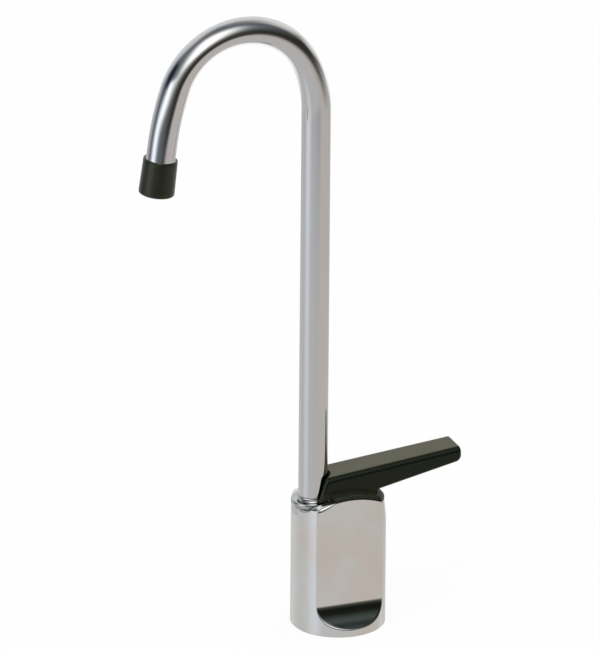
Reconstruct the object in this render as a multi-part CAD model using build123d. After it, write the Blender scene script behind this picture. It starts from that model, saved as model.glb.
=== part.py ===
from build123d import *
import os
from math import cos, pi, radians, sin, sqrt, tan

# Glass filler faucet, self-closing, lever operated. Millimetres.
# The origin is the centre of the body's underside and +Z is up. The spout reaches towards -Y,
# the lever towards +Y, and the body's two flats face -X and +X.

# Body, turned and milled from round bar
body_radius = 20.65
flat_offset = 13.8
arch_apex = 61.5
arch_radius = 39.0
cove_radius = 11.0
cove_height = 13.9
shoulder_round = 3.5
polish_round = 0.8

# Gooseneck, 1/2 inch tube
tube_radius = 6.35
tube_wall = 1.0
tube_offset = 12.1
riser_top = 240.5
bends = ((51.3, 26.3), (32.6, 135.9), (142.0, 10.9))
outlet_leg = 21.7

# Tube socket and lock ring, from the arch's apex down
spot_face_depth = 4.3
spot_face_room = 0.3
socket_depth = 11.2
well_depth = 12.0
well_step = 0.35
lock_ring_wall = 3.15
lock_ring_thickness = 2.5
lock_ring_chamfer = 0.3
lock_ring_land = 0.8
spout_gasket_thickness = 0.8

# Rubber nozzle cap
cap_length = 16.9
cap_neck_wall = 1.4
cap_mouth_wall = 1.7
cap_lip = 2.0
cap_lip_step = 0.35
cap_mouth_round = 0.9
cap_neck_round = 0.5

# Valve chamber beside the tube socket, from the arch down
valve_land = 1.1
chamber_radius = 5.8
bonnet_step = 1.2
bonnet_set_down = 0.15
bonnet_length = 10.3
chamber_depth = 18.0
bonnet_gasket_thickness = 1.0
bonnet_pilot = 1.5
drive_hole_radius = 0.7
drive_hole_depth = 2.0
passage_radius = 1.6
passage_drop = 4.7
passage_slope = 45.0

# Stem and its cross pin
stem_radius = 2.5
cup_room = 0.5
cup_wall = 1.0
cup_floor_thickness = 2.2
stem_tongue = 3.2
tongue_over_pin = 1.4
tongue_floor = 0.4
stop_spare = 0.1
pin_radius = 1.25
pin_length = 12.4
pin_chamfer = 0.25
pin_rise = 3.5
press_angle = 10.0

# Seat, seat washer and screw
seat_radius = 4.6
seat_bore = 2.4
seat_lip_height = 0.8
seat_lip_radius = 3.5
seat_length = 4.2
seat_hexagon = 2.7
seat_hexagon_depth = 2.0
seat_gasket_thickness = 0.8
seat_gasket_bore = 3.1
washer_thickness = 2.5
washer_set_in = 1.1
screw_head_room = 0.5
screw_head_height = 1.1
screw_radius = 1.0
screw_length = 6.0
screw_hole_spare = 0.3
screw_slot_width = 0.5
screw_slot_depth = 0.45

# Return spring
wire_radius = 0.5
wire_sides = 8
spring_inset = 1.0
spring_turns = 4
stop_room = 0.5
spring_washer_thickness = 0.5

# Stem seal
o_ring_section = 0.875
o_ring_sides = 8
bushing_length = 2.5

# Inlet, strainer and flow washer
inlet_radius = 7.3
inlet_depth = 14.0
strainer_radius = 6.6
strainer_pocket = 4.0
strainer_thickness = 0.8
strainer_hole = 0.8
strainer_hole_sides = 6
strainer_rows = 2
strainer_ring_wall = 1.4
strainer_ring_rise = 0.4
strainer_ring_split = 1.2
flow_washer_radius = 5.0
flow_washer_thickness = 2.6
flow_hole = 1.2
flow_chamfer = 0.8
riser_hole = 2.0
riser_offset = 2.6
plenum_radius = 4.0
plenum_height = 3.0

# Seal in the underside
base_seal_radius = 16.5
base_seal_width = 3.0
base_seal_depth = 1.5
base_seal_set_up = 0.1

# Lever, one black moulding, its heights from the arch's apex up
lever_gap = 0.3
flange_setback = 0.85
flange_front = -7.0
flange_rise = 1.8
flange_inset = 0.2
flange_round = 1.0
arm_root_rise = 8.7
arm_root_y = -9.0
arm_tip_rise = 14.65
arm_tip_thickness = 6.25
arm_tip_y = 54.2
arm_heel_y = 15.5
arm_heel_rise = 0.8
heel_round = 1.5
wing_front = -12.4
arm_half_width = 9.4
arm_tip_half_width = 9.1
arm_skirt = 5.5
arm_draft = 4.0
arm_round = 2.5
under_round = 1.0
wing_round = 1.5
tip_under_round = 3.0
tube_clearance = 1.25
ring_clearance = 0.4
pocket_wall = 1.9
pocket_front_room = 2.0
pocket_back_room = 1.5
pocket_over_pin = 2.6
pin_end_room = 0.3

# Clearances
thread_clearance = 0.05
running_clearance = 0.06
press_clearance = 0.02
groove_clearance = 0.1
gasket_inset = 0.1

# Worked out from the values above
arch_centre = arch_apex - arch_radius
spot_face_height = arch_apex - spot_face_depth
socket_floor = spot_face_height - socket_depth
well_floor = socket_floor - well_depth
well_radius = tube_radius - tube_wall - well_step
lock_ring_radius = tube_radius + lock_ring_wall
lock_ring_top = spot_face_height + lock_ring_thickness
bonnet_radius = chamber_radius + bonnet_step
valve_offset = lock_ring_radius + valve_land + bonnet_radius - tube_offset
bonnet_back = valve_offset + bonnet_radius
bonnet_top = arch_centre + sqrt(arch_radius ** 2 - bonnet_back ** 2) - bonnet_set_down
bonnet_ledge = bonnet_top - bonnet_length
chamber_floor = bonnet_ledge - chamber_depth
cup_radius = chamber_radius - cup_room
washer_radius = cup_radius - cup_wall
washer_bottom = chamber_floor + seat_lip_height
washer_top = washer_bottom + washer_thickness
cup_bottom = washer_top - washer_set_in
collar_top = washer_top + cup_floor_thickness
spring_bottom = collar_top + spring_washer_thickness
spring_top = bonnet_ledge - bonnet_pilot
spring_radius = cup_radius - spring_inset
stop_radius = spring_radius - wire_radius - stop_room
seat_gasket_bottom = chamber_floor - seat_length - seat_gasket_thickness
pin_height = arch_apex + pin_rise
flange_radius = body_radius - flange_setback
arm_tip_top = arch_apex + arm_tip_rise
arm_tip_bottom = arm_tip_top - arm_tip_thickness
arm_base = arch_apex - arm_skirt
heel_y = flange_radius
heel_z = arch_centre + sqrt((arch_radius + lever_gap) ** 2 - heel_y ** 2)


def lift_at(angle):
    """How far the pin rises when the lever, rocking on its heel, has turned by this many degrees."""
    turn = radians(angle)
    reach = heel_y - valve_offset
    above = pin_height - heel_z
    return (above + reach * sin(turn)) / cos(turn) - above


def slip_at(angle):
    """How far the pin has then slid along the lever's groove, towards the spout."""
    turn = radians(angle)
    reach = heel_y - valve_offset
    above = pin_height - heel_z + lift_at(angle)
    return above * sin(turn) - reach * (1 - cos(turn))


stem_lift = lift_at(press_angle)
pin_slip = slip_at(press_angle)


def tube_at(y, bottom, top, radius):
    """An upright solid cylinder on the plane of symmetry."""
    return Pos(0, y, bottom) * Cylinder(radius, top - bottom, align=(Align.CENTER, Align.CENTER, Align.MIN))


def ring_at(y, bottom, top, outer, inner):
    """An upright flat ring on the plane of symmetry."""
    return tube_at(y, bottom, top, outer) - tube_at(y, bottom - 1, top + 1, inner)


def arch_prism(radius, apex, half_width):
    """The space under an arch that runs along X."""
    under = Pos(0, apex / 2) * Rectangle(2 * body_radius + 20, apex)
    section = under & Pos(0, apex - radius) * Circle(radius)
    return extrude(Plane.YZ * section, half_width, both=True)


def body_blank():
    """The bar with its arched top, flats and coves, and its edges broken as polishing leaves them."""
    bar = tube_at(0, 0, arch_apex, body_radius)
    blank = bar & arch_prism(arch_radius, arch_apex, body_radius + 1)
    shoulder = blank.faces().sort_by(Axis.Z)[-1].edges()
    blank = fillet(shoulder, shoulder_round)
    for side in (-1, 1):
        flat = Box(body_radius, 3 * body_radius, arch_apex, align=(Align.MIN, Align.CENTER, Align.MIN))
        cove = Rot(90, 0, 0) * Cylinder(cove_radius, 3 * body_radius)
        if side < 0:
            flat = mirror(flat, Plane.YZ)
        blank -= Pos(side * flat_offset, 0, cove_height) * flat
        blank -= Pos(side * (flat_offset + cove_radius), 0, cove_height) * cove
    flats = blank.faces().filter_by(Axis.X)
    return fillet(flats.edges().filter_by(Axis.Z), polish_round)


def faucet_body():
    """The body with its socket, water ways, valve chamber, inlet and the groove of its seal."""
    body = body_blank()
    body -= tube_at(-tube_offset, spot_face_height, arch_apex + 1, lock_ring_radius + spot_face_room)
    body -= tube_at(-tube_offset, socket_floor, arch_apex, tube_radius + thread_clearance)
    body -= tube_at(-tube_offset, well_floor, socket_floor + 1, well_radius)
    body -= tube_at(valve_offset, bonnet_ledge, arch_apex + 1, bonnet_radius + thread_clearance)
    body -= tube_at(valve_offset, chamber_floor, bonnet_ledge + 1, chamber_radius)
    body -= tube_at(valve_offset, seat_gasket_bottom, chamber_floor + 1, seat_radius + thread_clearance)
    plenum_floor = seat_gasket_bottom - plenum_height
    body -= tube_at(valve_offset, plenum_floor, seat_gasket_bottom + 1, plenum_radius)
    flow_top = inlet_depth + strainer_pocket + flow_washer_thickness
    body -= tube_at(riser_offset, flow_top - 1, plenum_floor + 1, riser_hole)
    body -= tube_at(0, inlet_depth, flow_top, flow_washer_radius + running_clearance)
    body -= tube_at(0, inlet_depth - 1, inlet_depth + strainer_pocket, strainer_radius + running_clearance)
    body -= tube_at(0, -1, inlet_depth, inlet_radius)
    body -= slant_passage()
    outer = base_seal_radius + base_seal_width / 2 + running_clearance
    inner = base_seal_radius - base_seal_width / 2 - running_clearance
    body -= ring_at(0, -1, base_seal_depth, outer, inner)
    return body


def slant_passage():
    """The drilled way from the valve chamber down to the well under the tube."""
    wall_y = valve_offset - chamber_radius
    slope = radians(passage_slope)
    drop = (wall_y + tube_offset) * tan(slope)
    length = sqrt((wall_y + tube_offset) ** 2 + drop ** 2)
    start = (0, -tube_offset, bonnet_ledge - passage_drop - drop)
    way = Plane(origin=start, z_dir=(0, cos(slope), sin(slope)))
    overrun = chamber_radius * 0.6
    return way * Cylinder(passage_radius, length + overrun, align=(Align.CENTER, Align.CENTER, Align.MIN))


def gooseneck_line():
    """The tube's centre line in its own plane: the riser, three tangent bends and the outlet leg."""
    bottom = socket_floor + spout_gasket_thickness
    last = Line((-tube_offset, bottom), (-tube_offset, riser_top))
    runs = [last]
    for radius, angle in bends:
        last = JernArc(last @ 1, last % 1, radius, angle)
        runs.append(last)
    leg = outlet_leg - cap_lip
    runs.append(Line(last @ 1, last @ 1 + (last % 1) * leg))
    return Plane.YZ * Wire(runs)


def gooseneck_tube():
    """The bent tube, of one bore and one wall from foot to outlet."""
    line = gooseneck_line()
    start = Plane(origin=line @ 0, z_dir=line % 0)
    section = Circle(tube_radius) - Circle(tube_radius - tube_wall)
    return sweep(start * section, path=line)


def nozzle_cap():
    """A sleeve pushed over the tube's end, a little wider at its mouth, with a lip under the tube."""
    line = gooseneck_line()
    out = line % 1
    mouth = line @ 1 + out * cap_lip
    grip = tube_radius + press_clearance
    lip_hole = tube_radius - tube_wall - cap_lip_step
    outline = Polyline(
        (grip, cap_length), (tube_radius + cap_neck_wall, cap_length), (tube_radius + cap_mouth_wall, 0),
        (lip_hole, 0), (lip_hole, cap_lip), (grip, cap_lip), close=True,
    )
    sleeve = revolve(Plane.XZ * make_face(outline), Axis.Z)
    rims = sleeve.edges().group_by(Axis.Z)
    sleeve = fillet(rims[0].sort_by(SortBy.LENGTH)[-1], cap_mouth_round)
    neck = sleeve.edges().group_by(Axis.Z)[-1].sort_by(SortBy.LENGTH)[-1]
    sleeve = fillet(neck, cap_neck_round)
    return Plane(origin=mouth, x_dir=(1, 0, 0), z_dir=-out) * sleeve


def spout_lock_ring():
    """The ring that is run down the tube's thread onto the spot-face, countersunk on top."""
    bore = tube_radius + thread_clearance
    ring = ring_at(-tube_offset, spot_face_height, lock_ring_top, lock_ring_radius, bore)
    outer = ring.edges().filter_by(GeomType.CIRCLE).sort_by(SortBy.LENGTH)[-2:]
    ring = chamfer(outer, lock_ring_chamfer)
    sink = lock_ring_radius - lock_ring_land - bore
    cone = Cone(bore, bore + sink, sink, align=(Align.CENTER, Align.CENTER, Align.MAX))
    return ring - Pos(0, -tube_offset, lock_ring_top) * cone


def spout_gasket():
    """The flat seal between the tube's end and the floor of its socket."""
    top = socket_floor + spout_gasket_thickness
    return ring_at(-tube_offset, socket_floor, top, tube_radius, well_radius)


def lever_shell():
    """The arm and neck in one, drafted upwards, with its edges rounded as moulded."""
    side = make_face(Polyline(
        (wing_front, arm_base), (wing_front, arch_apex - 1), (arm_root_y, arch_apex + arm_root_rise),
        (arm_tip_y, arm_tip_top), (arm_tip_y, arm_tip_bottom), (arm_heel_y, arch_apex + arm_heel_rise),
        (arm_heel_y - 2, arm_base), close=True,
    ))
    under_tip = side.vertices().sort_by_distance((arm_tip_y, arm_tip_bottom))[0]
    side = fillet(under_tip, tip_under_round)
    heel = side.vertices().sort_by_distance((arm_heel_y, arch_apex + arm_heel_rise))[0]
    side = fillet(heel, heel_round)
    past_tip = arm_tip_y + 4
    plan = Plane.XY.offset(arm_base) * make_face(Polyline(
        (-arm_half_width, wing_front - 4), (arm_half_width, wing_front - 4),
        (arm_tip_half_width, past_tip), (-arm_tip_half_width, past_tip), close=True,
    ))
    drafted = extrude(plan, arm_tip_top - arm_base + 1, taper=arm_draft)
    shell = extrude(Plane.YZ * side, 2 * arm_half_width, both=True) & drafted
    long_top = [e for e in shell.edges() if e.length > 50]
    shell = fillet(long_top, arm_round)
    long_under = [
        e for e in shell.edges()
        if e.length > 20 and e.center().Y > arm_heel_y and abs(e.center().X) > arm_round
        and e.center().Z < arm_tip_bottom
    ]
    shell = fillet(long_under, under_round)
    wings = [
        e for e in shell.edges()
        if wing_front < e.center().Y < arm_root_y and e.center().Z > arch_apex
    ]
    return fillet(wings, wing_round)


def flange():
    """The plate that rests on the body's arch and curves with it, its upper rim rounded."""
    disc = tube_at(0, 0, arch_apex + 10, flange_radius)
    keep = Pos(0, flange_front, 0) * Box(
        2 * (flat_offset - flange_inset), 3 * body_radius, arch_apex + 10,
        align=(Align.CENTER, Align.MIN, Align.MIN),
    )
    slab = arch_prism(arch_radius + flange_rise, arch_apex + flange_rise, body_radius) & disc & keep
    rim = [e for e in slab.faces().sort_by(Axis.Z)[-1].edges() if e.center().Y > flange_front + 1]
    return fillet(rim, flange_round)


def lever():
    """The lever with its flange, hollowed underneath for the stem's tongue and cross pin."""
    body = flange() + lever_shell()
    body -= arch_prism(arch_radius + lever_gap, arch_apex + lever_gap, body_radius + 1)
    body -= tube_at(-tube_offset, 0, 100, tube_radius + tube_clearance)
    body -= tube_at(-tube_offset, 0, lock_ring_top + lever_gap, lock_ring_radius + ring_clearance)
    body -= lever_pocket()
    return body


def lever_pocket():
    """The hollow for the tongue, and in its walls the two grooves that hold the pin."""
    front = valve_offset - stem_radius - pin_slip - pocket_front_room
    back = valve_offset + stem_radius + pocket_back_room
    top = pin_height + pin_radius + pocket_over_pin
    half = stem_tongue / 2 + pocket_wall
    room = Box(2 * half, back - front, top, align=(Align.CENTER, Align.MIN, Align.MIN))
    pocket = Pos(0, front, 0) * room
    reach = pin_length / 2 + pin_end_room
    groove = pin_radius + groove_clearance
    length = valve_offset + groove - front
    run = Box(2 * reach, length, 2 * groove, align=(Align.CENTER, Align.MIN, Align.CENTER))
    way_in = Box(2 * reach, 2 * groove, pin_height, align=(Align.CENTER, Align.CENTER, Align.MIN))
    return pocket + Pos(0, front, pin_height) * run + Pos(0, front + groove, 0) * way_in


def lever_pin():
    """The cross pin, pressed through the stem's tongue."""
    pin = Pos(0, valve_offset, pin_height) * Rot(0, 90, 0) * Cylinder(pin_radius, pin_length)
    return chamfer(pin.edges().filter_by(GeomType.CIRCLE), pin_chamfer)


def valve_stem():
    """The stem: a cup for the washer, a collar for the spring, a stop, the shaft and its tongue."""
    tongue_top = pin_height + pin_radius + tongue_over_pin
    stop_top = spring_top - stem_lift - stop_spare
    stem = tube_at(valve_offset, cup_bottom, collar_top, cup_radius)
    stem -= tube_at(valve_offset, cup_bottom - 1, washer_top, washer_radius + press_clearance)
    stem += tube_at(valve_offset, collar_top, stop_top, stop_radius)
    stem += tube_at(valve_offset, collar_top, tongue_top, stem_radius)
    for side in (-1, 1):
        cheek = Box(stem_radius, 3 * stem_radius, 20, align=(Align.MIN, Align.CENTER, Align.MIN))
        if side < 0:
            cheek = mirror(cheek, Plane.YZ)
        stem -= Pos(side * stem_tongue / 2, valve_offset, bonnet_top + tongue_floor) * cheek
    hole = Rot(0, 90, 0) * Cylinder(pin_radius + press_clearance, 20)
    stem -= Pos(0, valve_offset, pin_height) * hole
    thread_top = washer_bottom + screw_length + screw_hole_spare
    return stem - tube_at(valve_offset, washer_top - 1, thread_top, screw_radius + press_clearance)


def seat_washer():
    """The rubber disc that closes on the seat's lip."""
    return ring_at(valve_offset, washer_bottom, washer_top, washer_radius, screw_radius + press_clearance)


def washer_screw():
    """The screw that holds the disc, its head inside the seat's bore."""
    head_bottom = washer_bottom - screw_head_height
    head_radius = seat_bore - screw_head_room
    screw = tube_at(valve_offset, head_bottom, washer_bottom, head_radius)
    screw += tube_at(valve_offset, washer_bottom, washer_bottom + screw_length, screw_radius)
    slot = Box(screw_slot_width, 4 * head_radius, 2 * screw_slot_depth)
    return screw - Pos(0, valve_offset, head_bottom) * slot


def spring_washer():
    """The thin ring that the spring stands on."""
    outer = cup_radius - gasket_inset
    return ring_at(valve_offset, collar_top, spring_bottom, outer, stop_radius + gasket_inset)


def biarc(start, start_way, end, end_way):
    """Two tangent arcs from start to end that leave and arrive in the two given directions."""
    gap = end - start
    ways = start_way + end_way
    a = 2 * (1 - start_way.dot(end_way))
    b = 2 * gap.dot(ways)
    c = -gap.dot(gap)
    reach = (-b + sqrt(b * b - 4 * a * c)) / (2 * a)
    joint = (start + start_way * reach + end - end_way * reach) * 0.5
    middle_way = (end - end_way * reach - start - start_way * reach).normalized()
    return [TangentArc(start, joint, tangent=start_way), TangentArc(joint, end, tangent=middle_way)]


def coil_point(turn):
    """A point of the spring's wire after so many turns, with the direction of the wire there."""
    climb = (spring_top - spring_bottom - 2 * wire_radius) / spring_turns
    a = 2 * pi * turn
    rise = climb / (2 * pi)
    place = Vector(spring_radius * cos(a), valve_offset + spring_radius * sin(a), climb * turn)
    way = Vector(-spring_radius * sin(a), spring_radius * cos(a), rise).normalized()
    return place + Vector(0, 0, spring_bottom + wire_radius), way


def return_spring():
    """One unbroken wire, each half turn a biarc through the helix's own points."""
    runs = []
    for step in range(2 * spring_turns):
        start, start_way = coil_point(step / 2)
        end, end_way = coil_point((step + 1) / 2)
        runs += biarc(start, start_way, end, end_way)
    line = Wire(runs)
    first, first_way = coil_point(0)
    section = RegularPolygon(wire_radius, wire_sides)
    return sweep(Plane(origin=first, z_dir=first_way) * section, path=line)


def coil_gap():
    """The least clear gap between turns, measured on points of the wire's line."""
    samples = [coil_point(i / 72)[0] for i in range(72 * spring_turns + 1)]
    near = min(
        (samples[i] - samples[j]).length
        for i in range(0, len(samples), 4) for j in range(i + 36, min(i + 120, len(samples)))
    )
    return near - 2 * wire_radius


def bonnet_nut():
    """The screwed plug over the chamber, bored for the stem, its seal and the seal's bushing."""
    base = bonnet_ledge + bonnet_gasket_thickness
    nut = tube_at(valve_offset, base, bonnet_top, bonnet_radius)
    nut += tube_at(valve_offset, spring_top, base, chamber_radius - thread_clearance)
    nut -= tube_at(valve_offset, 0, 100, stem_radius + running_clearance)
    nut -= tube_at(valve_offset, gland_floor(), 100, gland_radius())
    for side in (-1, 1):
        drive = tube_at(valve_offset, bonnet_top - drive_hole_depth, arch_apex, drive_hole_radius)
        nut -= Pos(0, side * (gland_radius() + bonnet_radius) / 2, 0) * drive
    return nut


def gland_radius():
    """Radius of the counterbore that the stem's seal and its bushing share."""
    return stem_radius + running_clearance + 2 * o_ring_section


def gland_floor():
    """Height of that counterbore's floor."""
    return bonnet_top - bushing_length - 2 * o_ring_section


def bonnet_gasket():
    """The flat seal between the bonnet and its ledge."""
    top = bonnet_ledge + bonnet_gasket_thickness
    return ring_at(valve_offset, bonnet_ledge, top, bonnet_radius - gasket_inset, chamber_radius)


def stem_o_ring():
    """The seal round the stem."""
    middle = stem_radius + running_clearance + o_ring_section
    section = Plane.XZ * Pos(middle, 0) * RegularPolygon(o_ring_section - press_clearance, o_ring_sides)
    return Pos(0, valve_offset, gland_floor() + o_ring_section) * revolve(section, Axis.Z)


def stem_bushing():
    """The plastic guide pressed in above the seal."""
    bottom = bonnet_top - bushing_length
    outer = gland_radius() - press_clearance
    return ring_at(valve_offset, bottom, bonnet_top, outer, stem_radius + running_clearance)


def valve_seat():
    """The screwed seat, with its raised lip and a hexagon broached in its bore."""
    bottom = chamber_floor - seat_length
    seat = tube_at(valve_offset, bottom, chamber_floor, seat_radius)
    seat += tube_at(valve_offset, chamber_floor, washer_bottom, seat_lip_radius)
    seat -= tube_at(valve_offset, bottom - 1, washer_bottom + 1, seat_bore)
    hexagon = extrude(RegularPolygon(seat_hexagon, 6), seat_hexagon_depth)
    return seat - Pos(0, valve_offset, bottom) * hexagon


def seat_gasket():
    """The flat seal under the seat."""
    top = seat_gasket_bottom + seat_gasket_thickness
    return ring_at(valve_offset, seat_gasket_bottom, top, seat_radius - gasket_inset, seat_gasket_bore)


def flow_washer():
    """The rubber disc whose small hole limits the flow."""
    bottom = inlet_depth + strainer_pocket
    disc = ring_at(0, bottom, bottom + flow_washer_thickness, flow_washer_radius, flow_hole)
    return chamfer(disc.edges().group_by(Axis.Z)[0].sort_by(SortBy.LENGTH)[0], flow_chamfer)


def inlet_strainer():
    """A thin disc with rings of small holes."""
    top = inlet_depth + strainer_pocket
    disc = tube_at(0, top - strainer_thickness, top, strainer_radius)
    spacing = (strainer_radius - strainer_ring_wall) / (strainer_rows + 0.5)
    hole = extrude(RegularPolygon(strainer_hole, strainer_hole_sides), top + 1)
    disc -= hole
    for row in range(1, strainer_rows + 1):
        disc -= PolarLocations(row * spacing, 6 * row) * hole
    return disc


def strainer_ring():
    """The split ring that snaps in under the strainer."""
    top = inlet_depth + strainer_pocket - strainer_thickness
    bottom = inlet_depth + strainer_ring_rise
    ring = ring_at(0, bottom, top, strainer_radius, strainer_radius - strainer_ring_wall)
    split = Box(strainer_ring_split, 2 * strainer_radius, 20, align=(Align.CENTER, Align.MIN, Align.CENTER))
    return ring - Pos(0, 0, bottom) * split


def base_seal():
    """The flat ring set in the underside, flush with it."""
    outer = base_seal_radius + base_seal_width / 2
    return ring_at(0, base_seal_set_up, base_seal_depth, outer, outer - base_seal_width)


pieces = (
    faucet_body, gooseneck_tube, spout_lock_ring, spout_gasket, nozzle_cap, lever, lever_pin,
    valve_stem, seat_washer, washer_screw, spring_washer, return_spring, bonnet_nut,
    bonnet_gasket, stem_o_ring, stem_bushing, valve_seat, seat_gasket, flow_washer,
    inlet_strainer, strainer_ring, base_seal,
)

os.makedirs("parts", exist_ok=True)
for piece in pieces:
    export_step(piece(), f"parts/{piece.__name__}.step")

print(f"stem lift {stem_lift:.3f} mm at {press_angle} degrees, pin slip {pin_slip:.3f} mm")
print(f"heel at Y {heel_y:.3f} Z {heel_z:.3f}")
print(f"least gap between the spring's turns {coil_gap():.3f} mm")
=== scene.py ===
# Glass filler faucet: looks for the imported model. The faucet's own sizes are in millimetres, and
# the camera's distance, the floor, the lamps and the room are in metres. +Z is up, the spout
# points to -Y and the lever to +Y.
from math import cos, radians, sin

import bmesh
import bpy
import numpy as np
from mathutils import Matrix, Vector


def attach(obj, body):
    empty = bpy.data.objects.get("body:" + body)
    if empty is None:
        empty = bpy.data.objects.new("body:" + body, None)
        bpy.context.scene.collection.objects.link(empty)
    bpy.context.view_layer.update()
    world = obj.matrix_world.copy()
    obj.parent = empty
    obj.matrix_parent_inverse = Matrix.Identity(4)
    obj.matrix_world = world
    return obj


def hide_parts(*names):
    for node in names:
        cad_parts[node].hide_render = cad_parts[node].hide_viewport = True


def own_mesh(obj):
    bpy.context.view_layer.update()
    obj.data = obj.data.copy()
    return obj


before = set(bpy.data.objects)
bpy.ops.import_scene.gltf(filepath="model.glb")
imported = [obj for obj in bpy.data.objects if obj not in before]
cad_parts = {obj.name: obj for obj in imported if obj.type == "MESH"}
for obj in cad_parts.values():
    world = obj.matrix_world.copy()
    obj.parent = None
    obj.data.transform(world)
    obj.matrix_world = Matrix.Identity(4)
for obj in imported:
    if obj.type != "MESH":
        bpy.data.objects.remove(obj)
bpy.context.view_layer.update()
scene = bpy.context.scene
scene.view_settings.view_transform = "Standard"
mm = 0.001

# Camera
# A long lens from eleven metres, looking down on the faucet's side from +X. The picture leans
# half a degree, which is near to the lean of the photograph's tube.
view_azimuth = radians(68.0)
view_elevation = radians(22.3)
view_distance = 11.0
picture_height = 0.28078
picture_lean = radians(0.5)
aim = Vector((0.0, -18.77, 140.9)) * mm

outward = Vector((
    sin(view_azimuth) * cos(view_elevation),
    -cos(view_azimuth) * cos(view_elevation),
    sin(view_elevation),
))
camera_data = bpy.data.cameras.new("camera")
camera_data.sensor_width = 36.0
camera_data.lens = camera_data.sensor_width * view_distance / picture_height
camera_data.clip_end = 200.0
camera = bpy.data.objects.new("camera", camera_data)
scene.collection.objects.link(camera)
turn = outward.to_track_quat("Z", "Y").to_matrix().to_4x4()
camera.matrix_world = (
    Matrix.Translation(aim + outward * view_distance) @ turn @ Matrix.Rotation(picture_lean, 4, "Z")
)
scene.camera = camera


# Table and room
# A white paper sweep, lit softly from above and from the spout's side. The metal sees the paper
# too, through the round of cards, flags and soft boxes that stands about it.
def new_material(name):
    """A node material with nothing in it but its output."""
    material = bpy.data.materials.new(name)
    material.use_nodes = True
    nodes = material.node_tree.nodes
    nodes.clear()
    return material, nodes, material.node_tree.links, nodes.new("ShaderNodeOutputMaterial")


def grid_mesh(name, points, closed_rows=False, closed_columns=False):
    """A mesh of quads over a grid of points, in metres.

    A closed way joins its last line to its first.
    Each corner's UV is its column and its row, as shares of the grid.
    """
    rows, columns = points.shape[:2]
    index = np.arange(rows * columns).reshape(rows, columns)
    if closed_rows:
        index = np.vstack([index, index[:1]])
    if closed_columns:
        index = np.hstack([index, index[:, :1]])

    def corners(grid):
        return np.stack([grid[:-1, :-1], grid[:-1, 1:], grid[1:, 1:], grid[1:, :-1]], -1)

    mesh = bpy.data.meshes.new(name)
    mesh.from_pydata(points.reshape(-1, 3), [], corners(index).reshape(-1, 4))
    down, across = np.meshgrid(*(np.linspace(0, 1, n) for n in index.shape), indexing="ij")
    shares = np.stack([corners(across), corners(down)], -1)
    mesh.uv_layers.new(name="grid").uv.foreach_set("vector", shares.ravel())
    thing = bpy.data.objects.new(name, mesh)
    scene.collection.objects.link(thing)
    return thing


def mix_shader(nodes, links, share, first, second):
    """first and second mixed, with share of the second, a number or a socket."""
    mix = nodes.new("ShaderNodeMixShader")
    if isinstance(share, float):
        mix.inputs["Fac"].default_value = share
    else:
        links.new(share, mix.inputs["Fac"])
    links.new(first.outputs[0], mix.inputs[1])
    links.new(second.outputs[0], mix.inputs[2])
    return mix


def combined(nodes, links, operation, first, second):
    """One operation on two values."""
    step = nodes.new("ShaderNodeMath")
    step.operation = operation
    links.new(first, step.inputs[0])
    links.new(second, step.inputs[1])
    return step.outputs[0]


def straight_rays(nodes, links):
    """1 for camera, glossy and transmission rays, 0 for the rays that light the object."""
    rays = nodes.new("ShaderNodeLightPath")
    total = rays.outputs["Is Camera Ray"]
    for kind in ("Is Glossy Ray", "Is Transmission Ray"):
        total = combined(nodes, links, "MAXIMUM", total, rays.outputs[kind])
    return total


floor_half = 6.0
paper_tone = 0.86
paper_glow = 0.94
edges = np.array([-floor_half, floor_half])
across, along = np.meshgrid(edges, edges)
floor = grid_mesh("floor", np.stack([across, along, 0 * across], -1))
floor.visible_glossy = False
material, nodes, links, output = new_material("floor_paper")
paper = nodes.new("ShaderNodeBsdfDiffuse")
paper.inputs["Color"].default_value = (paper_tone, paper_tone, paper_tone, 1)
white = nodes.new("ShaderNodeEmission")
seen = mix_shader(nodes, links, paper_glow, paper, white)
chosen = mix_shader(nodes, links, straight_rays(nodes, links), paper, seen)
links.new(chosen.outputs[0], output.inputs["Surface"])
floor.data.materials.append(material)

world = bpy.data.worlds.new("room")
scene.world = world
world.use_nodes = True
nodes, links = world.node_tree.nodes, world.node_tree.links
nodes.clear()
output = nodes.new("ShaderNodeOutputWorld")


def background(colour, strength):
    """An even glow from all round."""
    glow = nodes.new("ShaderNodeBackground")
    glow.inputs["Color"].default_value = (*colour, 1)
    glow.inputs["Strength"].default_value = strength
    return glow


dim = background((0.95, 0.97, 1.0), 0.42)
bright = background((1, 1, 1), 1.0)
chosen = mix_shader(nodes, links, straight_rays(nodes, links), dim, bright)
links.new(chosen.outputs[0], output.inputs["Surface"])


lamp_target = Vector((0, 0, 0.12))


def soft_lamp(name, place, size, power, colour):
    """A square area lamp that faces the faucet's middle and isn't seen in the metal itself."""
    data = bpy.data.lights.new(name, "AREA")
    data.shape = "SQUARE"
    data.size = size
    data.energy = power
    data.color = colour
    lamp = bpy.data.objects.new(name, data)
    scene.collection.objects.link(lamp)
    lamp.location = place
    lamp.rotation_euler = (Vector(place) - lamp_target).to_track_quat("Z", "Y").to_euler()
    lamp.visible_glossy = False


soft_lamp("lamp_left", (0.9, -1.6, 1.3), 0.8, 20, (0.94, 0.97, 1.0))
soft_lamp("lamp_top", (0.3, 0.2, 2.2), 1.2, 18, (1.0, 0.99, 0.97))
soft_lamp("lamp_back", (-1.2, 1.3, 1.5), 0.9, 11, (1.0, 0.98, 0.95))


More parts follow.
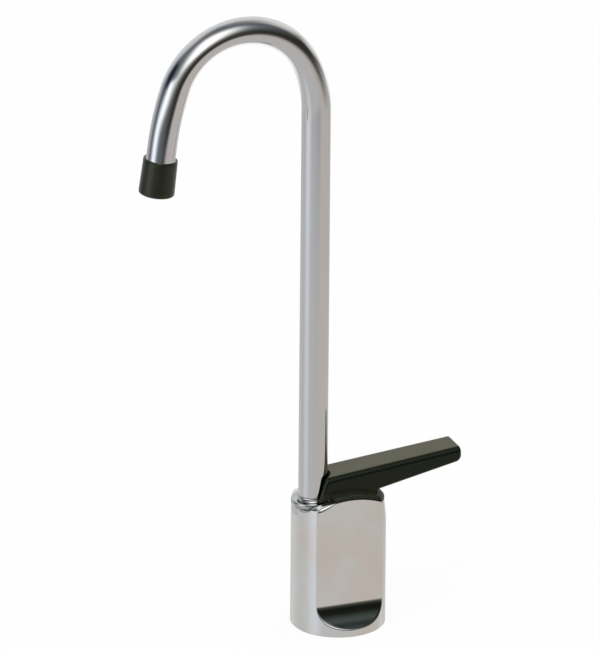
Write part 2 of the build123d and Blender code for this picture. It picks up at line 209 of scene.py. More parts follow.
# name: azimuth from +X towards +Y and elevation, half width and half height, softness of the
# sides and of the top and bottom, all in degrees, then the tone. A later one covers an earlier.
cards = {
    "wall_behind": (137, -4, 50, 48, 5, 12, (1.48, 1.46, 1.40)),
    "wall_by_the_window": (-178, 20, 40, 36, 6, 6, (1.02, 1.03, 1.05)),
    "bright_paper": (145, -55, 46, 13, 2, 3, (1.38, 1.38, 1.37)),
    "table_edge": (30, -9, 74, 7, 8, 1.2, (0.15, 0.15, 0.13)),
    "window_sill": (-68, 6, 18, 9, 10, 1.4, (2.15, 2.2, 2.2)),
    "dark_room": (35, 2, 53, 19.5, 4.6, 1.2, (0.05, 0.045, 0.035)),
    "dark_doorway": (152, -6, 8, 9, 2.5, 3, (0.3, 0.3, 0.28)),
    "flag": (-101, 13.5, 17, 20, 2.8, 1.2, (0.02, 0.025, 0.05)),
    "soft_box": (-23, 45, 23.5, 28, 6, 4.7, (2.15, 2.15, 2.12)),
    "window": (-84, -8, 14, 11, 6, 3, (1.95, 2.09, 2.22)),
    "shaded_paper": (60, -34, 40, 20.5, 2.7, 3.5, (0.775, 0.725, 0.685)),
    "window_on_paper": (-79, -30, 10.5, 13, 3.3, 3.8, (0.93, 0.97, 1.04)),
    "paper_fold": (150, -25, 74, 6.5, 4, 2, (0.64, 0.64, 0.63)),
    "ceiling_shade": (55, 27, 66, 4, 7, 7, (0.02, 0.015, 0.01)),
}
paper_below = (0.75, 0.74, 0.735)
ceiling_above = (0.17, 0.19, 0.21)
horizon = -18.5
horizon_softness = 0.6
room_radius = 3.0
room_middle = np.array([0, -0.02, 0.14])


def soft_step(share):
    """1 / (1 + e to the minus share): a rise from 0 to 1 that is half way up at 0."""
    return 1 / (1 + np.exp(-np.clip(share, -30, 30)))


def card_cover(ways, azimuth, elevation, half_width, half_height, soft_sides, soft_ends):
    """How much a card covers each direction: its angles off the card, stepped off at the edges."""
    a, e = radians(azimuth), radians(elevation)
    middle = np.array([cos(a) * cos(e), sin(a) * cos(e), sin(e)])
    sideways = np.array([-sin(a), cos(a), 0])
    upward = np.cross(middle, sideways)
    off_side = np.degrees(np.arctan2(ways @ sideways, ways @ middle))
    off_end = np.degrees(np.arcsin(np.clip(ways @ upward, -1, 1)))
    inside = soft_step((half_width - np.abs(off_side)) / soft_sides)
    return inside * soft_step((half_height - np.abs(off_end)) / soft_ends)


def room_tone(ways):
    """The room's colour each way: paper below the horizon, ceiling above, then the cards."""
    height = np.degrees(np.arcsin(np.clip(ways[..., 2], -1, 1)))
    above = soft_step((height - horizon) / horizon_softness)[..., None]
    tone = np.array(paper_below) * (1 - above) + np.array(ceiling_above) * above
    for *place, colour in cards.values():
        cover = card_cover(ways, *place)[..., None]
        tone = tone * (1 - cover) + np.array(colour) * cover
    return tone


rise, round_about = np.meshgrid(
    np.radians(np.linspace(-90, 90, 241)), np.radians(np.linspace(0, 360, 361)), indexing="ij"
)
level_share = np.cos(rise)
ways = np.stack(
    [level_share * np.cos(round_about), level_share * np.sin(round_about), np.sin(rise)], -1
)
room = grid_mesh("room_of_cards", room_middle + room_radius * ways)
tones = np.concatenate([room_tone(ways), np.ones(ways.shape[:2] + (1,))], -1)
painted = room.data.color_attributes.new("tone", "FLOAT_COLOR", "POINT")
painted.data.foreach_set("color", tones.ravel())
for kind in ("camera", "diffuse", "transmission", "volume_scatter", "shadow"):
    setattr(room, f"visible_{kind}", False)
material, nodes, links, output = new_material("card_tones")
tone = nodes.new("ShaderNodeVertexColor")
tone.layer_name = "tone"
glow = nodes.new("ShaderNodeEmission")
links.new(tone.outputs["Color"], glow.inputs["Color"])
links.new(glow.outputs[0], output.inputs["Surface"])
material.cycles.emission_sampling = "NONE"
room.data.materials.append(material)


# Faucet body
# Turned and milled from a round brass bar, polished until its edges are soft, then plated with
# nickel and bright chrome. Its socket, valve chamber and water ways are bored into it.
body_radius = 20.65
# Wear from polishing: the shares of the radius where it starts and is full, the height that it
# starts from, and its bend.
back_wear = (0.78, 0.95, 47.0, 29.0)
front_wear = (0.955, 0.995, 51.5, 16.0)

flat_offset = 13.8
cove_radius = 11.0
cove_height = 13.9
arch_radius = 39.0
arch_centre = 22.5
flat_edge_round = 0.4
arch_edge_round = 0.25
front_edge_round = 1.5
front_round_start = (6.5, 12.0)
front_round_end = (13.5, 16.5)
foot_edge_round = 0.35
spout_y = -12.1
valve_y = 5.5
riser_y = 2.6


def soft_larger(a, b, radius):
    """The larger of two distances, with the corner between them rounded."""
    past_corner = np.hypot(np.maximum(a + radius, 0), np.maximum(b + radius, 0))
    return np.minimum(np.maximum(a, b), -radius) + past_corner


def soft_ramp(value, start, end):
    """3 t^2 - 2 t^3 of the share t that the value has gone from the start to the end."""
    t = np.clip((value - start) / (end - start), 0, 1)
    return t * t * (3 - 2 * t)


def polish_wear(y, z):
    """How far polishing has worn the bar's back and front in.

    Each is the square of the height past the wear's start, over twice its bend.
    """
    worn = 0
    for outwards, (start, end, height, bend) in ((y, back_wear), (-y, front_wear)):
        share = soft_ramp(outwards / body_radius, start, end)
        worn = worn + share * np.maximum(z - height, 0) ** 2 / (2 * bend)
    return worn


def bar_distance(points):
    """Height of points above the bar's skin, below 0 inside: the largest of its surfaces' heights.

    The surfaces are the worn bar, the flats with their coves, the arch and the foot. The edge
    over the arch is rounder in front, where the polishing wheel reached it.
    """
    x, y, z = np.abs(points[..., 0]), points[..., 1], points[..., 2]
    bar = np.hypot(x, y) - body_radius + polish_wear(y, z)
    cove = cove_radius - np.hypot(x - flat_offset - cove_radius, z - cove_height)
    sides = soft_larger(bar, np.where(z > cove_height, x - flat_offset, cove), flat_edge_round)
    arch = np.hypot(y, z - arch_centre) - arch_radius
    in_front = soft_ramp(-y, *front_round_start) - soft_ramp(-y, *front_round_end)
    arch_edge = arch_edge_round + (front_edge_round - arch_edge_round) * in_front
    return soft_larger(soft_larger(sides, arch, arch_edge), -z, foot_edge_round)


def pulled_on(points, height, rounds=8, step=0.01):
    """Newton's method: points move down the slope of their height until it is nothing."""
    for _ in range(rounds):
        rises = [height(points + way) - height(points - way) for way in step * np.eye(3)]
        slope = np.stack(rises, -1) / (2 * step)
        share = height(points) / np.maximum((slope ** 2).sum(-1), 0.2)
        points = points - slope * share[..., None]
    return points


def bar_skin():
    """The bar's outside as one grid: out over the foot, up the side and in over the arch.

    A column's angle a gives its reach, the smaller of the bar's radius and the flat's or cove's
    offset over the cosine of a. The crisp shape so made is pulled onto the rounded skin.
    """
    # Columns stand closest at 38 to 58 degrees, where the flats meet the round of the bar.
    quarter = np.interp(np.arange(82), [0, 20, 62, 82], np.radians([0, 38, 58, 90]))
    half = np.concatenate([quarter[:-1], np.pi - quarter[:0:-1]])
    a = np.concatenate([half, np.pi + half])
    # Rows in sixtieths of the height: first, last and count. They stand closest by the cove and
    # under the arch.
    runs = ((0, 16, 60), (17, 47, 16), (48, 55, 12), (55.2, 60, 26))
    share = np.concatenate([np.linspace(*run) for run in runs]) / 60
    cove_x = flat_offset + cove_radius

    def reach(z):
        low = np.clip(cove_height - z, 0, cove_radius)
        offset = cove_x - np.sqrt(cove_radius ** 2 - low ** 2)
        return np.minimum(body_radius, offset / np.maximum(np.abs(np.cos(a)), 0.01))

    def arch(y):
        return arch_centre + np.sqrt(arch_radius ** 2 - y ** 2)

    top = arch(reach(np.full_like(a, 58.0)) * np.sin(a))
    z = share[:, None] * top
    r = reach(z)
    out = np.linspace(0, 1, 12)[:-1, None]
    foot_r, foot_z = out * r[:1], 0 * out * z[:1]
    inward = np.linspace(1, 0, 44)[1:, None]
    top_r = inward * r[-1:]
    r = np.concatenate([foot_r, r, top_r])
    z = np.concatenate([foot_z, z, arch(top_r * np.sin(a))])
    crisp = np.stack([r * np.cos(a), r * np.sin(a), z], -1)
    skin = pulled_on(crisp, bar_distance)
    skin[[0, -1], :, :2] = 0
    return skin


def turned_grid(outline, middle_y, columns=96):
    """A closed outline of (radius, height) points turned about an upright axis at x = 0."""
    a = np.linspace(0, 2 * np.pi, columns, endpoint=False)
    r, z = np.array(outline, float).T[..., None]
    return np.stack([r * np.cos(a), middle_y + r * np.sin(a), z + 0 * a], -1)


def welded(thing):
    """The mesh with its doubled points merged and its faces turned outwards."""
    shape = bmesh.new()
    shape.from_mesh(thing.data)
    bmesh.ops.remove_doubles(shape, verts=shape.verts, dist=1e-7)
    bmesh.ops.recalc_face_normals(shape, faces=shape.faces)
    shape.to_mesh(thing.data)
    shape.free()
    return thing


def bored(thing, tools):
    """The mesh with the space of each tool cut out of it."""
    for tool in tools:
        cut = thing.modifiers.new("bore", "BOOLEAN")
        cut.operation = "DIFFERENCE"
        cut.solver = "MANIFOLD"
        cut.object = tool
    result = thing.evaluated_get(bpy.context.evaluated_depsgraph_get())
    thing.data = bpy.data.meshes.new_from_object(result)
    thing.modifiers.clear()
    for tool in tools:
        bpy.data.objects.remove(tool)
    return thing


def soft_shading(thing, crease=32):
    """Smooth shading with sharp lines only where faces meet at more than the crease, in degrees."""
    thing.data.shade_smooth()
    thing.data.set_sharp_from_angle(angle=radians(crease))
    return thing


# From the mouth down: the ring's seat, the tube's socket and the well; the bonnet's seat, the
# valve chamber, the valve seat's socket and its pool; the inlet, strainer and flow washer; the
# riser to the pool; the base seal's groove.
bore_outlines = [
    (spout_y, [
        (0, 34.0), (5.0, 34.0), (5.0, 46.0), (6.4, 46.0), (6.4, 57.2), (9.8, 57.2),
        (9.8, 64), (0, 64),
    ]),
    (valve_y, [
        (0, 22.99), (4.0, 22.99), (4.0, 25.99), (4.65, 25.99), (4.65, 30.99), (5.8, 30.99),
        (5.8, 48.99), (7.05, 48.99), (7.05, 64), (0, 64),
    ]),
    (0, [
        (0, -1), (7.3, -1), (7.3, 14), (6.66, 14), (6.66, 18), (5.06, 18), (5.06, 20.6), (0, 20.6),
    ]),
    (riser_y, [(0, 19.6), (2.0, 19.6), (2.0, 24), (0, 24)]),
    (0, [(14.94, -1), (18.06, -1), (18.06, 1.5), (14.94, 1.5)]),
]


def tool(name, outline, middle_y):
    """The solid that an outline of (radius, height) points sweeps about its upright axis."""
    turned = turned_grid(outline, middle_y) * mm
    return welded(grid_mesh(name, turned, closed_rows=True, closed_columns=True))


def slanted_bore(radius=1.6, length=20.0, start=(0, spout_y, 32.49)):
    """The water way from the spout's well to the valve chamber: a cylinder leant by 45 degrees."""
    outline = [(0, 0), (radius, 0), (radius, length), (0, length)]
    x, y, z = np.moveaxis(turned_grid(outline, 0, 32), -1, 0)
    points = np.stack([x, (y + z) / 2 ** 0.5, (z - y) / 2 ** 0.5], -1) + start
    return welded(grid_mesh("bore_slanted", points * mm, closed_rows=True, closed_columns=True))


tools = [tool(f"bore_{n}", outline, y) for n, (y, outline) in enumerate(bore_outlines)]
tools.append(slanted_bore())
body = welded(grid_mesh("body_bar", bar_skin() * mm, closed_columns=True))
soft_shading(bored(body, tools))


def group_tree(name, kind, inputs, outputs):
    """A node group with inputs (name, socket type, value) and outputs (name, socket type)."""
    tree = bpy.data.node_groups.new(name, kind)
    for title, form, value in inputs:
        socket = tree.interface.new_socket(title, in_out="INPUT", socket_type=form)
        if value is not None:
            socket.default_value = value
    for title, form in outputs:
        tree.interface.new_socket(title, in_out="OUTPUT", socket_type=form)
    return tree, tree.nodes.new("NodeGroupInput"), tree.nodes.new("NodeGroupOutput")


number, direction = "NodeSocketFloat", "NodeSocketVector"
clouding, entry, leave = group_tree(
    "clouding",
    "ShaderNodeTree",
    [
        ("Place", direction, None),
        ("Stretch", direction, (1, 1, 1)),
        ("Low", number, 0.0),
        ("High", number, 1.0),
    ],
    [("Value", number)],
)
stretched = clouding.nodes.new("ShaderNodeVectorMath")
stretched.operation = "MULTIPLY"
clouds = clouding.nodes.new("ShaderNodeTexNoise")
clouds.inputs["Scale"].default_value = 1.0
clouds.inputs["Detail"].default_value = 3.0
spread = clouding.nodes.new("ShaderNodeMapRange")
spread.inputs["From Min"].default_value = 0.3
spread.inputs["From Max"].default_value = 0.7
ties = clouding.links
ties.new(entry.outputs["Place"], stretched.inputs[0])
ties.new(entry.outputs["Stretch"], stretched.inputs[1])
ties.new(stretched.outputs[0], clouds.inputs["Vector"])
ties.new(clouds.outputs["Fac"], spread.inputs["Value"])
ties.new(entry.outputs["Low"], spread.inputs["To Min"])
ties.new(entry.outputs["High"], spread.inputs["To Max"])
ties.new(spread.outputs["Result"], leave.inputs["Value"])


def surface_place(nodes, grid):
    """The point's place: along the piece's own grid, or in the object's frame in metres."""
    if grid:
        own = nodes.new("ShaderNodeUVMap")
        own.uv_map = "grid"
        return own.outputs["UV"]
    return nodes.new("ShaderNodeTexCoord").outputs["Object"]


def cloud_value(nodes, links, place, stretch, low, high):
    """The clouding effect's value over a surface, between low and high."""
    effect = nodes.new("ShaderNodeGroup")
    effect.node_tree = clouding
    links.new(place, effect.inputs["Place"])
    effect.inputs["Stretch"].default_value = stretch
    effect.inputs["Low"].default_value = low
    effect.inputs["High"].default_value = high
    return effect.outputs["Value"]


def blended(nodes, links, share, first, second):
    """Two colours mixed by a share that changes over the surface; a colour may be a socket."""
    mix = nodes.new("ShaderNodeMix")
    mix.data_type = "RGBA"
    links.new(share, mix.inputs["Factor"])
    for colour, socket in ((first, mix.inputs["A"]), (second, mix.inputs["B"])):
        if isinstance(colour, tuple):
            socket.default_value = (*colour, 1)
        else:
            links.new(colour, socket)
    return mix.outputs["Result"]


def finish(
    name, tones, gloss, metallic, stains, lines, depth, grid=False, level=0.5, tint=(1, 1, 1)
):
    """A plated, machined or moulded finish.

    Two tones drift into each other, the roughness drifts between the two gloss values, and a fine
    grain stands up by the depth, in metres. The stains carry the tones, and the lines the gloss
    and the grain. Each is how many clouds go to a metre along x, y and z, or to the piece's whole
    grid along its columns and rows.
    """
    material, nodes, links, output = new_material(name)
    place = surface_place(nodes, grid)
    shader = nodes.new("ShaderNodeBsdfPrincipled")
    shader.inputs["Metallic"].default_value = metallic
    shader.inputs["Specular IOR Level"].default_value = level
    shader.inputs["Specular Tint"].default_value = (*tint, 1)
    colour = blended(nodes, links, cloud_value(nodes, links, place, stains, 0.0, 1.0), *tones)
    links.new(colour, shader.inputs["Base Color"])
    links.new(cloud_value(nodes, links, place, lines, *gloss), shader.inputs["Roughness"])
    grain = nodes.new("ShaderNodeBump")
    grain.inputs["Distance"].default_value = depth
    grain.inputs["Strength"].default_value = 1.0
    links.new(cloud_value(nodes, links, place, lines, 0.0, 1.0), grain.inputs["Height"])
    links.new(grain.outputs["Normal"], shader.inputs["Normal"])
    links.new(shader.outputs[0], output.inputs["Surface"])
    return material


def give(thing, material, node_name=None, rides="faucet"):
    """The material as the piece's only one; a new piece also hides the CAD node it stands for and
    hangs from the empty of the body it rides on.
    """
    thing.data.materials.clear()
    thing.data.materials.append(material)
    if node_name:
        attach(thing, rides)
        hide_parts(node_name)


bright_plate = finish(
    "bright_plate",
    tones=((0.617, 0.568, 0.537), (0.623, 0.652, 0.653)),
    gloss=(0.045, 0.085),
    metallic=1.0,
    stains=(55, 55, 40),
    lines=(900, 900, 150),
    depth=0.0,
)


def stepped(nodes, links, source, edges, low=0.0, high=1.0):
    """low before the first edge and high past the second; the edges are in millimetres."""
    step = nodes.new("ShaderNodeMapRange")
    step.inputs["From Min"].default_value = edges[0] * mm
    step.inputs["From Max"].default_value = edges[1] * mm
    step.inputs["To Min"].default_value = low
    step.inputs["To Max"].default_value = high
    links.new(source, step.inputs["Value"])
    return step.outputs["Result"]


def vector_step(nodes, links, operation, source, constant=(0, 0, 0)):
    """One vector operation on a source, with a constant where it needs one."""
    step = nodes.new("ShaderNodeVectorMath")
    step.operation = operation
    step.inputs[1].default_value = constant
    links.new(source, step.inputs[0])
    return step.outputs


cove_sides = (body_radius - 0.15, body_radius - 0.25)
cove_top = (cove_height - 0.4, cove_height - 1.3)
cove_foot = (0.6, 0.7)


def cove_shade_share(nodes, links):
    """Share of painted shade: 1 in the coves, inside the bar's radius, under the cove's top and
    over the foot. Else 0.
    """
    place = nodes.new("ShaderNodeTexCoord").outputs["Object"]
    level_place = vector_step(nodes, links, "MULTIPLY", place, (1, 1, 0))[0]
    reach = vector_step(nodes, links, "LENGTH", level_place)["Value"]
    height = vector_step(nodes, links, "DOT_PRODUCT", place, (0, 0, 1))["Value"]
    inside = stepped(nodes, links, reach, cove_sides)
    below = stepped(nodes, links, height, cove_top)
    over = stepped(nodes, links, height, cove_foot)
    share = combined(nodes, links, "MULTIPLY", inside, below)
    return combined(nodes, links, "MULTIPLY", share, over)


# Painted shade: the coves' chrome gets a dark grey-green base colour, standing in for the dark room
# that the concave coves reflect.
cove_shade_colour = (0.135, 0.155, 0.135)
body_plate = bright_plate.copy()
body_plate.name = "body_plate"
nodes, links = body_plate.node_tree.nodes, body_plate.node_tree.links
colour_in = nodes["Principled BSDF"].inputs["Base Color"]
plated = colour_in.links[0].from_socket
links.new(blended(nodes, links, cove_shade_share(nodes, links), plated, cove_shade_colour), colour_in)
give(body, body_plate, "faucet_body")


# Inlet strainer
# A disc punched from stainless sheet, with two rows of small holes. It lies in the inlet's pocket
# and keeps grit off the seat.
weld_distance = 0.002 * mm
edge_angle = radians(32)
geometry = "NodeSocketGeometry"
soft_facets, entry, leave = group_tree(
    "soft_facets", "GeometryNodeTree", [("Geometry", geometry, None)], [("Geometry", geometry)]
)
weld = soft_facets.nodes.new("GeometryNodeMergeByDistance")
weld.inputs["Distance"].default_value = weld_distance
angle = soft_facets.nodes.new("GeometryNodeInputMeshEdgeAngle")
crease = soft_facets.nodes.new("FunctionNodeCompare")
crease.operation = "GREATER_THAN"
crease.inputs[1].default_value = edge_angle
faces_smooth = soft_facets.nodes.new("GeometryNodeSetShadeSmooth")
edges_sharp = soft_facets.nodes.new("GeometryNodeSetShadeSmooth")
edges_sharp.domain = "EDGE"
edges_sharp.inputs["Shade Smooth"].default_value = False
ties = soft_facets.links
ties.new(entry.outputs[0], weld.inputs["Geometry"])
ties.new(weld.outputs["Geometry"], faces_smooth.inputs["Geometry"])
ties.new(faces_smooth.outputs["Geometry"], edges_sharp.inputs["Geometry"])
ties.new(angle.outputs["Unsigned Angle"], crease.inputs[0])
ties.new(crease.outputs["Result"], edges_sharp.inputs["Selection"])
ties.new(edges_sharp.outputs["Geometry"], leave.inputs[0])


def smooth_machining(node_name):
    """The CAD node shaded as a machined surface: welded, creased by angle, weighted by area."""
    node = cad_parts[node_name]
    facets = node.modifiers.new("soft_facets", "NODES")
    facets.node_group = soft_facets
    weighted = node.modifiers.new("area_weights", "WEIGHTED_NORMAL")
    weighted.keep_sharp = True
    weighted.weight = 100
    return node


drawn_sheet = finish(
    "drawn_sheet",
    tones=((0.55, 0.55, 0.54), (0.63, 0.63, 0.625)),
    gloss=(0.2, 0.34),
    metallic=1.0,
    stains=(260, 260, 260),
    lines=(60, 3200, 900),
    depth=0.000002,
)
give(smooth_machining("inlet_strainer"), drawn_sheet)


# Strainer ring
# A split ring of flat stainless wire, sprung into the pocket under the strainer.
drawn_wire = finish(
    "drawn_wire",
    tones=((0.52, 0.52, 0.515), (0.62, 0.62, 0.61)),
    gloss=(0.16, 0.3),
    metallic=1.0,
    stains=(420, 420, 420),
    lines=(2400, 2400, 2400),
    depth=0.0000015,
)
give(smooth_machining("strainer_ring"), drawn_wire)


# Flow washer
# A soft rubber disc, coned at its hole. Pressure squeezes the hole smaller, which keeps the flow
# to a glass steady.
seal_moulding = finish(
    "seal_moulding",
    tones=((0.024, 0.024, 0.024), (0.043, 0.042, 0.04)),
    gloss=(0.5, 0.72),
    metallic=0.0,
    stains=(500, 500, 500),
    lines=(3600, 3600, 3600),
    depth=0.00001,
    level=0.4,
)
give(smooth_machining("flow_washer"), seal_moulding)


# Valve seat and its gasket
# A turned brass nozzle with a rounded lip, screwed down onto a flat rubber gasket. A screwdriver
# turns it in from above.
turned_brass = finish(
    "turned_brass",
    tones=((0.62, 0.43, 0.18), (0.76, 0.57, 0.29)),
    gloss=(0.18, 0.32),
    metallic=1.0,
    stains=(180, 180, 320),
    lines=(70, 70, 5200),
    depth=0.000002,
)
give(smooth_machining("valve_seat"), turned_brass)
give(smooth_machining("seat_gasket"), seal_moulding)


# Valve stem
# Turned from brass bar, with a cup for the washer at its foot and a flat tongue for the pin on
# top. The lever lifts it off the seat.
give(smooth_machining("valve_stem"), turned_brass)


# Seat washer and its screw
# The rubber disc that shuts the water off, held in the stem's cup by a slotted brass screw.
give(smooth_machining("seat_washer"), seal_moulding)
give(smooth_machining("washer_screw"), turned_brass)


# Spring washer and return spring
# A punched stainless ring on the stem's collar, and the coil of stainless wire that presses on it
# to shut the valve and raise the lever. The coil's end turns lie closed.
spring_radius = 4.3
wire_radius = 0.5
spring_bottom = 36.99
spring_top = 47.49
spring_turns = 5.2
closed_pitch = 1.04
closed_turns = (0.6, 1.3)


def spring_grid(steps=330, sides=14):
    """A wire carried round a helix, each of its rings square to the line, with a point at each end.

    The line is the radius times (cos, sin) of the turn, and its height is the running sum of the
    pitch, which is the wire's width at the closed ends and wider between them.
    """
    turn = np.linspace(0, spring_turns, steps)
    openness = soft_ramp(turn, *closed_turns) * soft_ramp(spring_turns - turn, *closed_turns)

    def running_sum(rate):
        return np.concatenate([[0], np.cumsum((rate[1:] + rate[:-1]) / 2 * np.diff(turn))])

    rise = spring_top - spring_bottom - 2 * wire_radius
    spare_pitch = (rise - closed_pitch * spring_turns) / running_sum(openness)[-1]
    pitch = closed_pitch + spare_pitch * openness
    a = 2 * np.pi * turn
    outwards = np.stack([np.cos(a), np.sin(a), 0 * a], -1)
    line = spring_radius * outwards
    line[:, 2] = spring_bottom + wire_radius + running_sum(pitch)
    line[:, 1] += valve_y
    onwards = np.stack([-np.sin(a), np.cos(a), pitch / (2 * np.pi * spring_radius)], -1)
    onwards /= np.linalg.norm(onwards, axis=-1, keepdims=True)
    upwards = np.cross(onwards, outwards)
    ring = np.linspace(0, 2 * np.pi, sides, endpoint=False)[:, None]
    round_line = np.cos(ring) * outwards[:, None] + np.sin(ring) * upwards[:, None]
    wire = line[:, None] + wire_radius * round_line
    ends = np.repeat(line[[0, -1], None], sides, axis=1)
    return np.concatenate([ends[:1], wire, ends[1:]])


give(smooth_machining("spring_washer"), drawn_sheet)
coil = soft_shading(welded(grid_mesh("coil_spring", spring_grid() * mm, closed_columns=True)), 50)
give(coil, drawn_wire, "return_spring")
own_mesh(coil)


# Bonnet nut and its gasket
# A brass plug screwed into the body over the spring, which it holds, on a flat rubber gasket. The
# stem slides through it.
give(smooth_machining("bonnet_nut"), turned_brass)
give(smooth_machining("bonnet_gasket"), seal_moulding)


# Stem seal
# A rubber O-ring round the stem, kept in the bonnet by a pressed-in acetal bushing, which also
# guides the stem.
turned_acetal = finish(
    "turned_acetal",
    tones=((0.78, 0.78, 0.74), (0.86, 0.86, 0.83)),
    gloss=(0.3, 0.44),
    metallic=0.0,
    stains=(350, 350, 350),
    lines=(120, 120, 4200),
    depth=0.000003,
)
give(smooth_machining("stem_o_ring"), seal_moulding)
give(smooth_machining("stem_bushing"), turned_acetal)


# Spout gasket
# A flat rubber ring on the socket's floor, pinched by the gooseneck's end.
give(smooth_machining("spout_gasket"), seal_moulding)


# Gooseneck tube
# Half-inch brass tube with a thread rolled on its foot, bent on a mandrel and plated. The bend
# leaves it a little flatter across the arch, and the drawing die leaves faint lines along it.
tube_radius = 6.35
tube_wall = 1.0
neck_bottom = 46.8
riser_top = 240.5
bends = ((51.3, 26.3), (32.6, 135.9), (142.0, 10.9))
leg_length = 19.7
thread_top = 61.3
thread_pitch = 1.3
thread_depth = 0.3
thread_step = 0.13
thread_runout = 1.0
arch_squeeze = 0.065
squeeze_start = 40
squeeze_end = (122, 172)


def neck_line():
    """The tube's centre line in its own plane: the riser, three tangent arcs and the outlet leg.

    A run's points are its start plus its way times a length, and an arc's are its centre plus the
    arm to its start, turned by equal steps. Gives the points and ways as (y, z) rows.
    """
    threaded = np.arange(neck_bottom, thread_top + thread_runout, thread_step)
    plain = np.linspace(thread_top + 1.5 * thread_runout, riser_top, 36)
    rises = np.concatenate([threaded, plain])
    points = [np.stack([np.full_like(rises, spout_y), rises], -1)]
    ways = [np.tile([0.0, 1.0], (len(rises), 1))]
    for radius, sweep in bends:
        start, way = points[-1][-1], ways[-1][-1]
        centre = start + radius * np.array([-way[1], way[0]])
        turns = np.radians(np.linspace(0, sweep, int(sweep / 1.4) + 4)[1:])
        c, s = np.cos(turns), np.sin(turns)
        rotate = np.stack([np.stack([c, -s], -1), np.stack([s, c], -1)], -2)
        points.append(centre + rotate @ (start - centre))
        ways.append(rotate @ way)
    start, way = points[-1][-1], ways[-1][-1]
    points.append(start + np.linspace(0, leg_length, 14)[1:, None] * way)
    ways.append(np.tile(way, (13, 1)))
    return np.concatenate(points), np.concatenate(ways)


def neck_grid(columns=80):
    """The tube's outer wall up the centre line and its inner wall back, as one closed grid.

    A ring's point is the centre plus the radius times (cos a along X, sin a away from the bend).
    The thread's groove is the upper half of a wave of the rise less the turn. The squeeze follows
    the line's own bending.
    """
    centres, ways = neck_line()
    a = np.linspace(0, 2 * np.pi, columns, endpoint=False)
    away = np.stack([ways[:, 1], -ways[:, 0]], -1)
    height = centres[:, 1, None]
    wave = np.cos(2 * np.pi * (height - neck_bottom) / thread_pitch - a)
    groove = np.clip((wave + 0.1) / 1.1, 0, 1)
    on_thread = np.clip((thread_top - height) / thread_pitch, 0, 1)
    outer = tube_radius - thread_depth * groove * on_thread
    turn = -np.degrees(np.arctan2(ways[:, 0], ways[:, 1]))
    ending = (squeeze_end[1] - turn) / (squeeze_end[1] - squeeze_end[0])
    bent = np.clip(turn / squeeze_start, 0, 1) * np.clip(ending, 0, 1)
    squeeze = 1 - arch_squeeze * (bent * bent * (3 - 2 * bent))[:, None]

    def wall(radius):
        off = radius * np.sin(a) * squeeze
        y, z = centres[:, :1] + off * away[:, :1], height + off * away[:, 1:]
        return np.stack([radius * np.cos(a) + 0 * off, y, z], -1)

    inner = np.full_like(outer, tube_radius - tube_wall)
    return np.concatenate([wall(outer), wall(inner)[::-1]])


neck = welded(grid_mesh("gooseneck", neck_grid() * mm, closed_rows=True, closed_columns=True))
soft_shading(neck, 50)
drawn_plate = finish(
    "drawn_plate",
    tones=((0.565, 0.555, 0.55), (0.545, 0.555, 0.57)),
    gloss=(0.05, 0.09),
    metallic=1.0,
    stains=(3, 30, 1),
    lines=(90, 5, 1),
    depth=0.0,
    grid=True,
)
give(neck, drawn_plate, "gooseneck_tube")


# Spout lock ring
# A thin turned and plated ring, run down the tube's thread onto its seat to lock it. Its top is
# dished to clear the last of the thread.
ring_outline = [
    (6.4, 57.2), (9.2, 57.2), (9.42, 57.29), (9.5, 57.5), (9.5, 59.0), (9.42, 59.21), (9.2, 59.3),
    (9.0, 59.28), (6.6, 58.35), (6.45, 58.25), (6.4, 58.1),
]
lock_ring = soft_shading(welded(tool("lock_ring", ring_outline, spout_y)), 40)
ring_plate = finish(
    "ring_plate",
    tones=((0.37, 0.375, 0.38), (0.43, 0.435, 0.435)),
    gloss=(0.07, 0.13),
    metallic=1.0,
    stains=(160, 160, 160),
    lines=(90, 90, 2600),
    depth=0.0,
)
give(lock_ring, ring_plate, "spout_lock_ring")


# Nozzle cap
# A moulded rubber sleeve, pushed over the outlet to keep glasses from chipping. It is a little
# wider at its mouth, where a lip turns in under the tube.
cap_length = 16.1
cap_lip = 1.2


def arc_corner(middle, radius, start, end, steps=6):
    """Points of a rounded corner: its middle plus the radius at equal steps of the angle."""
    angle = np.radians(np.linspace(start, end, steps))
    return np.stack([middle[0] + radius * np.cos(angle), middle[1] + radius * np.sin(angle)], -1)


def cap_outline():
    """The sleeve's section, from the lip's hole round the mouth, up the side and down the bore.

    Its corners are quarter turns about their middles, and its side is a straight run that leans in.
    """
    side = np.linspace(0, 1, 10)[1:-1]
    return np.concatenate([
        arc_corner((5.25, 0.25), 0.25, 180, 270, 4),
        arc_corner((6.9, 0.9), 0.9, 270, 360, 8),
        np.stack([7.8 - 0.3 * side, 0.9 + (cap_length - 1.3) * side], -1),
        arc_corner((7.1, cap_length - 0.4), 0.4, 0, 90, 6),
        arc_corner((6.62, cap_length - 0.25), 0.25, 90, 180, 4),
        [(6.37, cap_length / 2), (6.37, cap_lip), (5.0, cap_lip)],
    ])


def cap_grid(columns=96):
    """The outline turned about the outlet's axis.

    A point is the mouth, plus its height up the axis, plus its radius at the column's angle.
    """
    centres, ways = neck_line()
    down = np.array([0, *ways[-1]])
    mouth = np.array([0, *centres[-1]]) + cap_lip * down
    sideways = np.array([1.0, 0, 0])
    across = np.cross(down, sideways)
    a = np.linspace(0, 2 * np.pi, columns, endpoint=False)[:, None]
    round_axis = np.cos(a) * sideways + np.sin(a) * across
    outline = cap_outline()
    return mouth - outline[:, None, 1:] * down + outline[:, None, :1] * round_axis


cap = welded(grid_mesh("outlet_sleeve", cap_grid() * mm, closed_rows=True, closed_columns=True))
soft_shading(cap, 50)
moulded_rubber = finish(
    "moulded_rubber",
    tones=((0.0065, 0.007, 0.004), (0.0095, 0.01, 0.0055)),
    gloss=(0.27, 0.38),
    metallic=0.0,
    stains=(160, 160, 160),
    lines=(2500, 2500, 2500),
    depth=0.000012,
    level=0.42,
    tint=(1.0, 1.0, 0.8),
)
give(cap, moulded_rubber, "nozzle_cap")
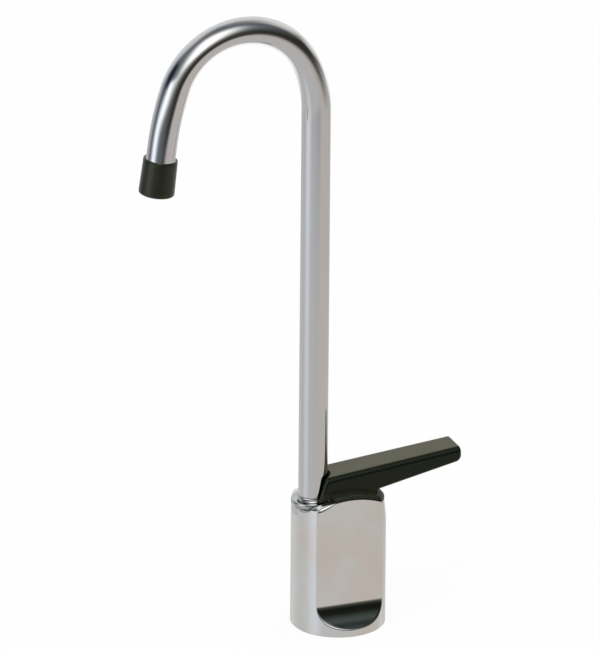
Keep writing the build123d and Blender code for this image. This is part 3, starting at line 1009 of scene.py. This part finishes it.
# The tube in the photograph shows nothing of the cap.
cap.visible_glossy = False


# Lever
# One black moulding: a tapering arm, hollow underneath, with the rocking flange that sits over the
# arch.
# Glossy on its long faces, rougher and a lighter olive on the flange, and a painted olive sheen on
# its top face.
flange_dullness = (43.0, 41.6)
flange_roughness = 0.55
flange_colour = (0.016, 0.018, 0.011)
top_slope = 0.0941
top_sheen_edges = (70.9, 71.03)
top_sheen_colour = (0.032, 0.027, 0.003)
black_moulding = finish(
    "black_moulding",
    tones=((0.0035, 0.006, 0.0042), (0.0055, 0.0075, 0.0052)),
    gloss=(0.14, 0.24),
    metallic=0.0,
    stains=(120, 120, 120),
    lines=(700, 700, 700),
    depth=0.000012,
    level=0.3,
    tint=(0.9, 1.0, 0.7),
)
nodes, links = black_moulding.node_tree.nodes, black_moulding.node_tree.links
lever_skin = nodes["Principled BSDF"].inputs
place = nodes.new("ShaderNodeTexCoord").outputs["Object"]
from_arch = vector_step(nodes, links, "SUBTRACT", place, (0, 0, arch_centre * mm))[0]
flat_reach = vector_step(nodes, links, "MULTIPLY", from_arch, (0, 1, 1))[0]
reach = vector_step(nodes, links, "LENGTH", flat_reach)["Value"]
height = vector_step(nodes, links, "DOT_PRODUCT", place, (0, -top_slope, 1))["Value"]
gloss = lever_skin["Roughness"].links[0].from_socket
dulled = stepped(nodes, links, reach, flange_dullness, high=flange_roughness)
links.new(combined(nodes, links, "MAXIMUM", gloss, dulled), lever_skin["Roughness"])
moulded = lever_skin["Base Color"].links[0].from_socket
# The flange's base colour is a lighter olive than the rest of the moulding.
on_flange = stepped(nodes, links, reach, flange_dullness)
flange_toned = blended(nodes, links, on_flange, moulded, flange_colour)
# Painted sheen: the top face's base colour is an olive that stands in for the light the top face
# catches.
in_top_sheen = stepped(nodes, links, height, top_sheen_edges)
with_top_sheen = blended(nodes, links, in_top_sheen, flange_toned, top_sheen_colour)
links.new(with_top_sheen, lever_skin["Base Color"])
give(smooth_machining("lever"), black_moulding)


# Lever pin
# A length of stainless rod through the stem's tongue. Its ends slide in the lever's two blind
# grooves.
give(smooth_machining("lever_pin"), drawn_wire)


# Base seal
# A flat rubber ring in the groove of the foot, which keeps water out from under the body.
give(smooth_machining("base_seal"), seal_moulding)
